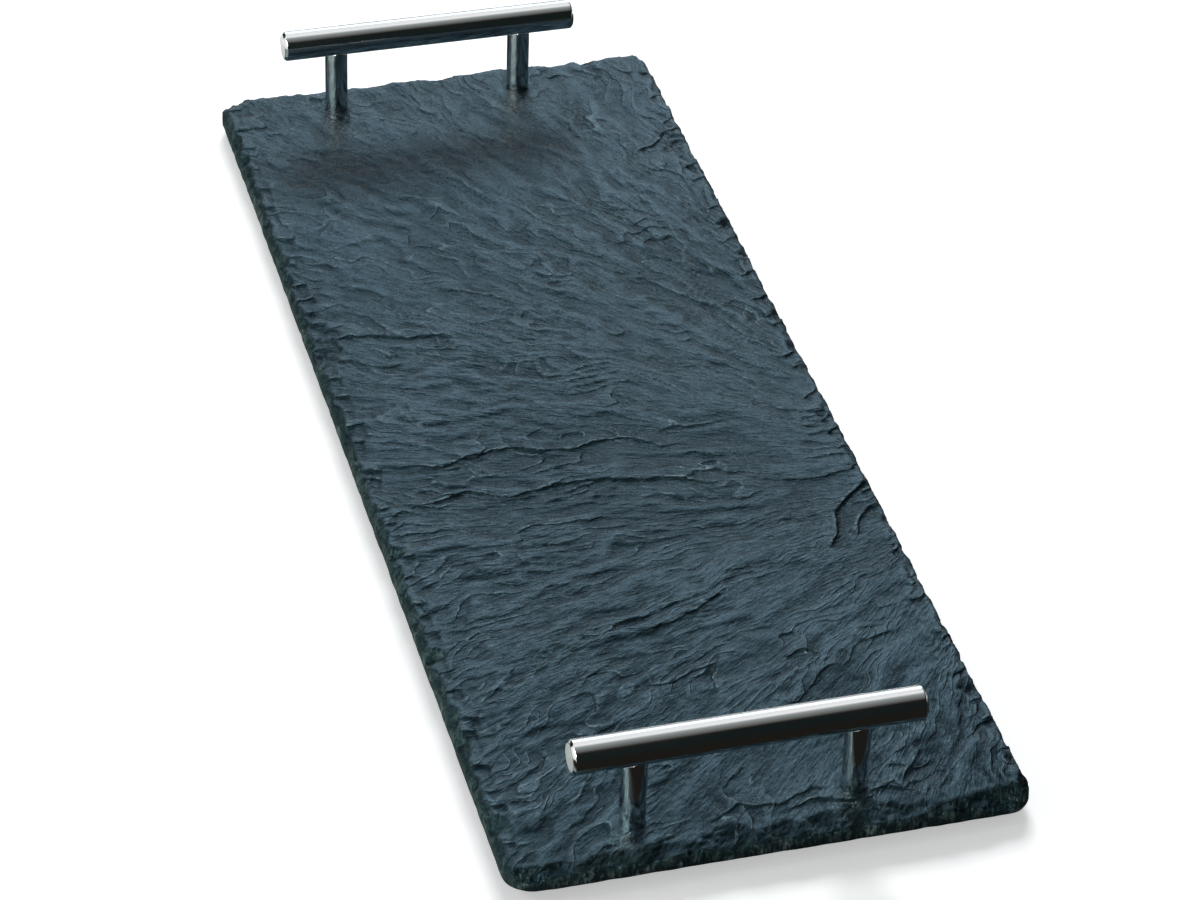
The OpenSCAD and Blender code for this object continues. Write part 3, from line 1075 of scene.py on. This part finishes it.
# Colours of the slate: its face, the pale lips of its creases and flakes, partly their paler
# broken edges and partly a painted highlight, their dark lines, a painted shadow at the foot
# of each step, the chips of the rim, and the wall below them
FACE_DARK = (0.002, 0.006, 0.009, 1)
FACE_PALE = (0.049, 0.082, 0.105, 1)
LIP_HIGHLIGHT_COLOUR = (0.160, 0.230, 0.260, 1)
SHADOW_LINE_COLOUR = (0.003, 0.006, 0.008, 1)
# The chips' dark colour is partly the stone's own and partly painted shade
CHIP_DARK_AND_SHADE = (0.002, 0.004, 0.004, 1)
CHIP_PALE = (0.080, 0.120, 0.114, 1)
WALL_DARK = (0.010, 0.018, 0.017, 1)
WALL_PALE = (0.24, 0.33, 0.30, 1)

# Noise in the slate, as scale, detail and roughness: its grain, the lumps of broken stone,
# slow clouds, the shiver of its edges, and the breaks in their lips
GRAIN = (800.0, 2.0, 0.5)
LUMPS = (260.0, 4.0, 0.6)
CLOUDS = (18.0, 3.0, 0.5)
SHIVERS = (520.0, 3.0, 0.6)
BREAKS = (340.0, 3.0, 0.6)
# Streaks that point to the apex: their length and width, and their noise as scale,
# detail, roughness and distortion
FLOW_STREAKS = (4.0, 1.25)
FINE_STREAKS = (7.0, 0.6)
STREAK_NOISE = (1.0, 3.0, 0.56, 0.35)
STREAK_ARC = 0.1
# Upright strokes on the wall: their noise, how much it is squeezed along the rim and
# upwards, and the slow noise that leaves patches plain
STROKE_NOISE = (1.6, 4.0, 0.65, 0.3)
STROKE_ALONG = 0.55
STROKE_UP = 140.0
PATCH_NOISE = (0.2, 2.0)
# The edge of each flake layer: half its width as a share of the flake, how far the shiver
# pushes it, and the weights of its step, its dark line of painted shadow and its pale lip,
# partly a painted highlight
FLAKE_EDGES = [(0.030, 0.16, 0.24, 0.62, 1.0), (0.060, 0.34, 0.14, 0.40, 0.7)]
# In half widths of that edge: how far from it the painted shadow line is full and gone, how
# far above it the lip with its painted highlight has its middle, and how far from that the
# lip is full and gone
FLAKE_SHADOW_LINE = (0.4, 1.6)
FLAKE_LIP_RISE = 2.5
FLAKE_LIP_HIGHLIGHT = (0.3, 1.3)
# A crease's edge: how many millimetres the shiver pushes it, the same weights, the signed
# distances over which its step climbs, and for its dark line of painted shadow and its pale
# lip, partly a painted highlight, the place of the middle, and how far from that each is
# full and gone
CREASE_SHIVER = 1.1
CREASE_WEIGHTS = (0.50, 0.96, 1.0)
CREASE_STEP = (-0.3, 0.25)
CREASE_SHADOW_LINE = (-0.15, 0.12, 0.55)
CREASE_LIP_HIGHLIGHT = (0.75, 0.1, 0.5)
# The face's tone: the weights of its streaks, grain, clouds, crests and fine streaks, and
# the tones from which it is dark and pale. The streaks, which are also bumped, and the
# crests are painted paler where raised: painted light and shade on the relief
TONE_WEIGHTS = (0.33, 0.20, 0.10, 0.37, 0.75)
TONE_RANGE = (0.42, 0.60)
# The next ranges say between which two values something changes, and from what to what.
# By Y in metres: the strength of the fine streaks, and that of the painted shadow lines and
# of the lips with their painted highlight
FINE_BY_Y = (-0.06, 0.14, 1.0, 0.4)
EDGES_BY_Y = (-0.02, 0.16, 1.0, 0.55)
# By the crest height in millimetres the tone, painted paler on crests as painted light, and
# by the depth how dark a hollow gets, as painted shade
CREST_LIGHT_AND_SHADE = (-0.3, 0.3, 0.25, 0.75)
HOLLOW_SHADE = (-0.8, 0.1, 0.6, 0.0)
# By noise: how much of a lip is left, how much the rim's pale colour shows in its patches,
# and how rough the slate is
LIP_LEFT = (0.44, 0.60, 0.0, 0.9)
PATCH_SHOWS = (0.38, 0.62, 0.15, 1.0)
SLATE_SATIN = (0.3, 0.7, 0.22, 0.34)
# The noise values between which the chips and the wall go from dark to pale, and the
# weights of the strokes and the lumps on the wall
CHIP_RANGE = (0.48, 0.66)
WALL_RANGE = (0.49, 0.64)
SPECKLE_WEIGHTS = (0.6, 0.4)
# How much rougher dark lines and the dressed rim are
LINE_ROUGH = 0.35
RIM_ROUGH = 0.30
# The share of the lumps in the bump of the rim and of the face
RIM_LUMPS = 0.9
FACE_LUMPS = 0.1
# How many millimetres of bump the steps, the streaks, the rim and the grain make
BUMPS = (1.0, 0.6, 1.6, 0.04)


def streaks_to_apex(tree, split, along, across):
    """Noise stretched along the lines to the apex. It reads polar coordinates about the
    apex, on an arc whose radius is STREAK_ARC times a power of two, and blends the two
    nearest arcs, so that the streaks are about as wide everywhere."""
    east = math_node(tree, "SUBTRACT", APEX[0] * MM, split[0])
    north = math_node(tree, "SUBTRACT", APEX[1] * MM, split[1])
    squares = chained(tree, "ADD", times(tree, east, east), times(tree, north, north))
    radius = math_node(tree, "SQRT", squares)
    angle = math_node(tree, "ARCTAN2", north, east)
    octave = math_node(tree, "LOGARITHM", math_node(tree, "DIVIDE", radius, STREAK_ARC), 2.0)
    level = math_node(tree, "FLOOR", octave)
    share = math_node(tree, "SUBTRACT", octave, level)
    found = []
    for rung in (level, math_node(tree, "ADD", level, 1.0)):
        arc = times(tree, angle, times(tree, math_node(tree, "POWER", 2.0, rung), STREAK_ARC))
        inputs = [(0, times(tree, radius, 1 / (along * MM))),
                  (1, times(tree, arc, 1 / (across * MM))), (2, rung)]
        vector = node(tree, "ShaderNodeCombineXYZ", inputs).outputs[0]
        found.append(noise_node(tree, vector, *STREAK_NOISE))
    change = math_node(tree, "SUBTRACT", found[1], found[0])
    return math_node(tree, "ADD", found[0], times(tree, share, change))


def crease_marks(tree, shiver):
    """The step of the creases, the dark line along its foot, a painted shadow, and the pale lip
    above it, partly a paler broken edge and partly a painted highlight. The mesh carries the
    signed distance in millimetres and the crease's strength."""
    distance = weighted_sum(tree, (attribute_value(tree, "line"), 1.0), (shiver, CREASE_SHIVER))
    strength = attribute_value(tree, "line_share")
    step = smooth_range(tree, distance, *CREASE_STEP)
    line = band(tree, distance, *CREASE_SHADOW_LINE)
    lip_highlight = band(tree, distance, *CREASE_LIP_HIGHLIGHT)
    marks = zip((step, line, lip_highlight), CREASE_WEIGHTS)
    return [times(tree, mark, strength, weight) for mark, weight in marks]


def flake_marks(tree, number, shiver):
    """A flake layer's crisp edge, half way up its climb: its step, dark line and pale lip. The
    dark line is painted shadow, and the pale lip is partly a paler broken edge and partly a
    painted highlight. The part is the fraction of the phase that the mesh carries, pushed by
    the shiver. The step climbs over the edge and falls back over the rest of the part. The
    line lies on the edge and the lip above it. All three are times the flake's presence."""
    half_width, push, *weights = FLAKE_EDGES[number]
    at = FLAKE_LAYERS[number][1] / 2
    phase = attribute_value(tree, "flake_%d" % number)
    present = attribute_value(tree, "flake_%d_share" % number)
    part = math_node(tree, "FRACT", math_node(tree, "ADD", phase, times(tree, shiver, push)))
    climb = smooth_range(tree, part, at - half_width, at + half_width)
    fall = map_range(tree, part, at + half_width, 1.0, 1.0, 0.0)
    line = band(tree, part, at, *[half_width * share for share in FLAKE_SHADOW_LINE])
    above = at + FLAKE_LIP_RISE * half_width
    lip_highlight = band(tree, part, above, *[half_width * share for share in FLAKE_LIP_HIGHLIGHT])
    marks = zip((times(tree, climb, fall), line, lip_highlight), weights)
    return [times(tree, mark, present, weight) for mark, weight in marks]


def face_colour(tree, place, split, grain, flow, shadow_lines, lip_highlights):
    """The riven face: a tone of streaks, grain, clouds and crests between its dark and pale
    colours, with raised streaks and crests painted paler, painted shade darker in the hollows,
    then the pale lips with their painted highlight and the dark lines of painted shadow."""
    # The front half has sharper streaks than the rear half
    fine_share = map_range(tree, split[1], *FINE_BY_Y)
    fine = math_node(tree, "SUBTRACT", streaks_to_apex(tree, split, *FINE_STREAKS), 0.5)
    fine = times(tree, fine, fine_share)
    clouds = noise_node(tree, place, *CLOUDS)
    # Crests, and streaks where their bump raises them, are painted paler: painted light and shade
    # on the relief
    crest = map_range(tree, attribute_value(tree, "crest"), *CREST_LIGHT_AND_SHADE)
    tone = weighted_sum(tree, *zip((flow, grain, clouds, crest, fine), TONE_WEIGHTS))
    colour = mix_colour(tree, map_range(tree, tone, *TONE_RANGE), FACE_DARK, FACE_PALE)
    # Painted shade: darker in the hollows
    hollow_shade = map_range(tree, attribute_value(tree, "depth"), *HOLLOW_SHADE)
    colour = mix_colour(tree, hollow_shade, colour, FACE_DARK)
    # Pale lips, partly paler broken edges and partly painted highlight, then dark lines of painted
    # shadow
    colour = mix_colour(tree, lip_highlights, colour, LIP_HIGHLIGHT_COLOUR)
    return mix_colour(tree, shadow_lines, colour, SHADOW_LINE_COLOUR)


def rim_marks(tree, split, lumps):
    """The colour and the height of the dressed rim: lumps on the chips, and upright strokes
    on the wall, which are read along the rim and upwards."""
    on_wall = attribute_value(tree, "wall")
    along = times(tree, attribute_value(tree, "run"), STROKE_ALONG)
    upwards = times(tree, split[2], STROKE_UP)
    place = node(tree, "ShaderNodeCombineXYZ", [(0, along), (1, upwards)]).outputs[0]
    strokes = noise_node(tree, place, *STROKE_NOISE)
    speckle = weighted_sum(tree, *zip((strokes, lumps), SPECKLE_WEIGHTS))
    patches = map_range(tree, noise_node(tree, place, *PATCH_NOISE), *PATCH_SHOWS)
    chip_share = times(tree, map_range(tree, lumps, *CHIP_RANGE), patches)
    wall_share = times(tree, map_range(tree, speckle, *WALL_RANGE), patches)
    chips = mix_colour(tree, chip_share, CHIP_DARK_AND_SHADE, CHIP_PALE)
    wall = mix_colour(tree, wall_share, WALL_DARK, WALL_PALE)
    stroked = times(tree, math_node(tree, "SUBTRACT", speckle, lumps), on_wall)
    return mix_colour(tree, on_wall, chips, wall), math_node(tree, "ADD", lumps, stroked)


def slate_material():
    """Dark blue-grey slate. The face has fine streaks that point to the apex, and crisp edges
    along its creases and flakes, with dark lines of painted shadow and pale lips that are
    partly painted highlight. The dressed rim is darker, partly its own colour and partly
    painted shade, and its wall is paler, greener and streaked upright."""
    material, tree, shader = new_material("slate")
    place = object_place(tree)
    split = node(tree, "ShaderNodeSeparateXYZ", [(0, place)]).outputs
    grain = noise_node(tree, place, *GRAIN)
    lumps = noise_node(tree, place, *LUMPS)
    flow = streaks_to_apex(tree, split, *FLOW_STREAKS)
    dressed = attribute_value(tree, "dressed")
    on_face = math_node(tree, "SUBTRACT", 1.0, dressed)

    shiver = math_node(tree, "SUBTRACT", noise_node(tree, place, *SHIVERS), 0.5)
    marks = [crease_marks(tree, shiver)]
    marks += [flake_marks(tree, number, shiver) for number in range(len(FLAKE_LAYERS))]
    steps, shadow_lines, lip_highlights = zip(*marks)
    steps = times(tree, chained(tree, "ADD", *steps), on_face)
    # The painted shadow lines and the lips with their painted highlight are fainter at the
    # rear, and the lips are broken
    edge_share = map_range(tree, split[1], *EDGES_BY_Y)
    shadow_lines = times(tree, highest(tree, *shadow_lines), edge_share)
    broken = map_range(tree, noise_node(tree, place, *BREAKS), *LIP_LEFT)
    lip_highlights = times(tree, highest(tree, *lip_highlights), broken, edge_share)

    face = face_colour(tree, place, split, grain, flow, shadow_lines, lip_highlights)
    rim, rim_height = rim_marks(tree, split, lumps)
    satin = map_range(tree, grain, *SLATE_SATIN)
    rough = weighted_sum(tree, (satin, 1.0), (shadow_lines, LINE_ROUGH), (dressed, RIM_ROUGH))
    lump_share = weighted_sum(tree, (dressed, RIM_LUMPS), (on_face, FACE_LUMPS))
    rim_height = times(tree, rim_height, lump_share)
    normal = None
    for height, distance in zip((steps, flow, rim_height, grain), BUMPS):
        normal = bump_node(tree, height, distance, normal)
    # The rim's look, partly painted shade on steep faces, laid over the face
    set_inputs(tree, shader, [
        ("Base Color", mix_colour(tree, dressed, face, rim)), ("Roughness", rough),
        ("Specular IOR Level", 0.25), ("Specular Tint", (0.36, 0.78, 1.0, 1)), ("Normal", normal)])
    return material


def chrome_material():
    """Polished chrome with faint haze and rubbing marks. The end faces are duller and still
    show the rings of the lathe: a sine of the distance from the axis."""
    material, tree, shader = new_material("chrome")
    stretch = node(tree, "ShaderNodeVectorMath", [(0, object_place(tree)), (1, (0.15, 1.0, 1.0))],
                   operation="MULTIPLY").outputs[0]
    haze = noise_node(tree, stretch, 160.0, 3.0, 0.5)
    polished = map_range(tree, haze, 0.35, 0.7, 0.09, 0.15)
    end_face = attribute_value(tree, "end_face")
    rings = times(tree, attribute_value(tree, "ring"), 2 * math.pi / LATHE_PITCH)
    ring_height = times(tree, math_node(tree, "SINE", rings), end_face)
    set_inputs(tree, shader, [
        ("Metallic", 1.0), ("Base Color", (0.76, 0.77, 0.78, 1)),
        ("Roughness", weighted_sum(tree, (polished, 1.0), (end_face, 0.38))),
        ("Normal", bump_node(tree, ring_height, 0.01))])
    return material


def zinc_material():
    """Zinc plated steel: bluish grey with faint spangles and a satin surface."""
    material, tree, shader = new_material("zinc_steel")
    spangle = noise_node(tree, object_place(tree), 700.0, 4.0, 0.6)
    colour = mix_colour(tree, spangle, (0.42, 0.44, 0.47, 1), (0.62, 0.63, 0.64, 1))
    satin = map_range(tree, spangle, 0.3, 0.7, 0.26, 0.42)
    set_inputs(tree, shader, [("Metallic", 1.0), ("Base Color", colour), ("Roughness", satin)])
    return material


def rubber_material():
    """Black rubber, a little dusty, with a fine moulded grain."""
    material, tree, shader = new_material("rubber")
    place = object_place(tree)
    grain = noise_node(tree, place, 1500.0, 3.0, 0.6)
    dust = map_range(tree, noise_node(tree, place, 120.0, 4.0, 0.6), 0.45, 0.7)
    colour = mix_colour(tree, dust, (0.012, 0.012, 0.013, 1), (0.03, 0.03, 0.031, 1))
    set_inputs(tree, shader, [("Base Color", colour), ("Roughness", 0.75),
                              ("Normal", bump_node(tree, grain, 0.08, strength=0.6))])
    return material


# Studio

def even(*colour):
    """A ramp of one colour."""
    return [(0.0, colour), (1.0, colour)]


BLUISH = even(2.3, 3.4, 4.1)
BRIGHT = even(28.0, 28.0, 25.0)
DARK = even(0.009, 0.013, 0.013)
BROWN = even(0.013, 0.012, 0.010)
GREEN_BLACK = even(0.02, 0.027, 0.026)
GREEN_GREY = even(0.26, 0.33, 0.31)
OVERHEAD = [(0.0, (0.02, 0.017, 0.015)), (0.10, (0.05, 0.043, 0.038)), (0.34, (0.17, 0.18, 0.175)),
            (0.62, (0.31, 0.34, 0.33)), (0.90, (1.1, 1.1, 1.1))]
# Cards that only show in reflections: name, ramp, place, size, facing and soft edge
CARDS = [
    ("sheen_card", BLUISH, (920, 3740, 2300), (2400, 1430), (-0.2, -0.82, -0.55), 450),
    ("left_card", BRIGHT, (-1600, -720, 1250), (2000, 850), (0.76, 0.25, -0.6), 250),
    ("back_flag", DARK, (600, 2600, 240), (6000, 480), (0, -1, 0), 100),
    ("back_left_flag", DARK, (-2700, 3000, 2400), (4600, 4800), (0, -1, 0), 500),
    ("back_right_flag", DARK, (4300, 3000, 2400), (4600, 4800), (0, -1, 0), 500),
    ("front_flag", DARK, (700, -2400, 1400), (5600, 5400), (0, 1, 0), 400),
    ("right_flag", DARK, (1900, -400, 1100), (3400, 4400), (-1, 0, 0), 600),
    ("ceiling_card", OVERHEAD, (0, -550, 3000), (6000, 3700), (0, 0, -1), 250),
    ("front_table", BROWN, (300, -1315, 1), (4800, 2200), (0, 0, 1), 30),
    ("back_table", GREEN_BLACK, (0, 240, 1.4), (700, 120), (0, 0, 1), 25),
    ("right_table", GREEN_BLACK, (240, 0, 1.8), (400, 520), (0, 0, 1), 40),
    ("left_table", GREEN_GREY, (-240, 0, 1.8), (400, 520), (0, 0, 1), 40),
]
# Lamps: name, place, size, power and colour
LAMPS = [
    ("back_lamp", (1000, 3800, 2500), (2000, 1400), 230, (0.97, 0.99, 1.0)),
    ("left_lamp", (-1600, 300, 1100), (700, 700), 7, (0.96, 1.0, 1.0)),
]
FLOOR_SIZE = (8000, 8000)
FLOOR_COLOUR = (0.86, 0.86, 0.86, 1)
FLOOR_GLOW = 0.45
SKY_COLOUR = (0.93, 0.97, 1.0, 1)
SKY_STRENGTH = 0.17


def seen_share(tree):
    """1 for camera, glossy and transmission rays, and 0 for the others."""
    rays = node(tree, "ShaderNodeLightPath").outputs
    return highest(tree, rays["Is Camera Ray"], rays["Is Glossy Ray"], rays["Is Transmission Ray"])


def make_floor():
    """A wide pale floor that the board stands on. Camera, glossy and transmission rays also
    see it glow a little, which lights nothing."""
    material = bpy.data.materials.new("floor")
    tree = emptied_tree(material)
    base = node(tree, "ShaderNodeBsdfDiffuse", [("Color", FLOOR_COLOUR)])
    strength = times(tree, seen_share(tree), FLOOR_GLOW)
    glow = node(tree, "ShaderNodeEmission", [("Strength", strength)])
    both = node(tree, "ShaderNodeAddShader", [(0, base.outputs[0]), (1, glow.outputs[0])])
    node(tree, "ShaderNodeOutputMaterial", [("Surface", both.outputs[0])])
    plane("floor", material, (0, 0, 0), FLOOR_SIZE, (0, 0, 1))


def plane(name, material, place, size, facing):
    """A flat card in millimetres, turned so that its face looks along `facing`."""
    half_x, half_y = size[0] / 2, size[1] / 2
    flat = [(-half_x, -half_y, 0), (half_x, -half_y, 0), (half_x, half_y, 0), (-half_x, half_y, 0)]
    turn = Vector(facing).to_track_quat("Z", "Y").to_matrix()
    points = [(turn @ Vector(p) + Vector(place)) * MM for p in flat]
    mesh = bpy.data.meshes.new(name)
    mesh.from_pydata(points, [], [(0, 1, 2, 3)])
    mesh.materials.append(material)
    card = bpy.data.objects.new(name, mesh)
    bpy.context.scene.collection.objects.link(card)
    return card


def card_material(name, ramp, size, soft):
    """A card whose colour follows a ramp of (share of the way along V, colour) and fades to
    nothing over the width `soft` along its edges: the product of a smooth step of the
    distance from the edges along U and one along V."""
    material = bpy.data.materials.new(name)
    tree = emptied_tree(material)
    place = node(tree, "ShaderNodeUVMap", uv_map="card").outputs[0]
    split = node(tree, "ShaderNodeSeparateXYZ", [(0, place)]).outputs
    covers = []
    for share_along, length in zip(split, size):
        off = distance_from(tree, 0.5, share_along)
        edge = times(tree, math_node(tree, "SUBTRACT", 0.5, off), length)
        covers.append(smooth_range(tree, edge, 0.0, soft))
    shades = node(tree, "ShaderNodeValToRGB", [(0, split[1])])
    shades.color_ramp.interpolation = "EASE"
    stops = shades.color_ramp.elements
    while len(stops) < len(ramp):
        stops.new(1.0)
    for stop, (share, colour) in zip(stops, ramp):
        stop.position = share
        stop.color = (*colour, 1)
    glow = node(tree, "ShaderNodeEmission", [("Color", shades.outputs[0])])
    clear = node(tree, "ShaderNodeBsdfTransparent")
    shaders = [(0, times(tree, *covers)), (1, clear.outputs[0]), (2, glow.outputs[0])]
    mixed = node(tree, "ShaderNodeMixShader", shaders)
    node(tree, "ShaderNodeOutputMaterial", [("Surface", mixed.outputs[0])])
    return material


def reflection_card(name, ramp, place, size, facing, soft):
    """A card that only shows in reflections."""
    card = plane(name, card_material(name, ramp, size, soft), place, size, facing)
    uv = card.data.uv_layers.new(name="card")
    uv.data.foreach_set("uv", [0, 0, 1, 0, 1, 1, 0, 1])
    card.visible_camera = False
    card.visible_diffuse = False
    card.visible_shadow = False
    card.visible_transmission = False


def soft_light(name, place, size, power, colour):
    """A rectangular lamp that looks at the board's middle and shows in no reflection."""
    data = bpy.data.lights.new(name, "AREA")
    data.shape = "RECTANGLE"
    data.size = size[0] * MM
    data.size_y = size[1] * MM
    data.energy = power
    data.color = colour
    lamp = bpy.data.objects.new(name, data)
    bpy.context.scene.collection.objects.link(lamp)
    lamp.location = Vector(place) * MM
    lamp.rotation_euler = (-lamp.location).to_track_quat("-Z", "Y").to_euler()
    lamp.visible_glossy = False


def make_world():
    """An even grey sky as light, and white where camera, glossy and transmission rays look."""
    world = bpy.data.worlds.new("studio")
    bpy.context.scene.world = world
    tree = emptied_tree(world)
    light = node(tree, "ShaderNodeBackground", [("Color", SKY_COLOUR), ("Strength", SKY_STRENGTH)])
    white = node(tree, "ShaderNodeBackground", [("Color", (1, 1, 1, 1)), ("Strength", 1.0)])
    shaders = [(0, seen_share(tree)), (1, light.outputs[0]), (2, white.outputs[0])]
    mixed = node(tree, "ShaderNodeMixShader", shaders)
    node(tree, "ShaderNodeOutputWorld", [("Surface", mixed.outputs[0])])


def make_studio():
    """Floor, world, a large lamp behind and above the board, a weak one at the left, and
    cards for the chrome and the slate to reflect: a bluish one behind for the slate's
    sheen, a bright one at the left, dark ones behind, in front and at the right, one
    overhead that fades from dark to bright, and dim ones on the table round the board."""
    make_floor()
    make_world()
    for lamp in LAMPS:
        soft_light(*lamp)
    for card in CARDS:
        reflection_card(*card)
    bpy.context.scene.view_settings.view_transform = "Standard"


# Making

make_camera()
make_studio()
SLATE = slate_material()
CHROME = chrome_material()
ZINC = zinc_material()
RUBBER = rubber_material()
make_slab(SLATE)
for row in ("front", "rear"):
    bar = row + "_handle_bar"
    make_bar(bar, CHROME)
    for side in ("left", "right"):
        make_post(row + "_" + side, bar, CHROME)
NODE_FINISH = {"stud": ZINC, "screw": ZINC, "washer": ZINC, "foot": RUBBER}
for name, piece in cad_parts.items():
    for ending, material in NODE_FINISH.items():
        if name.endswith(ending):
            piece.data.materials.clear()
            piece.data.materials.append(material)
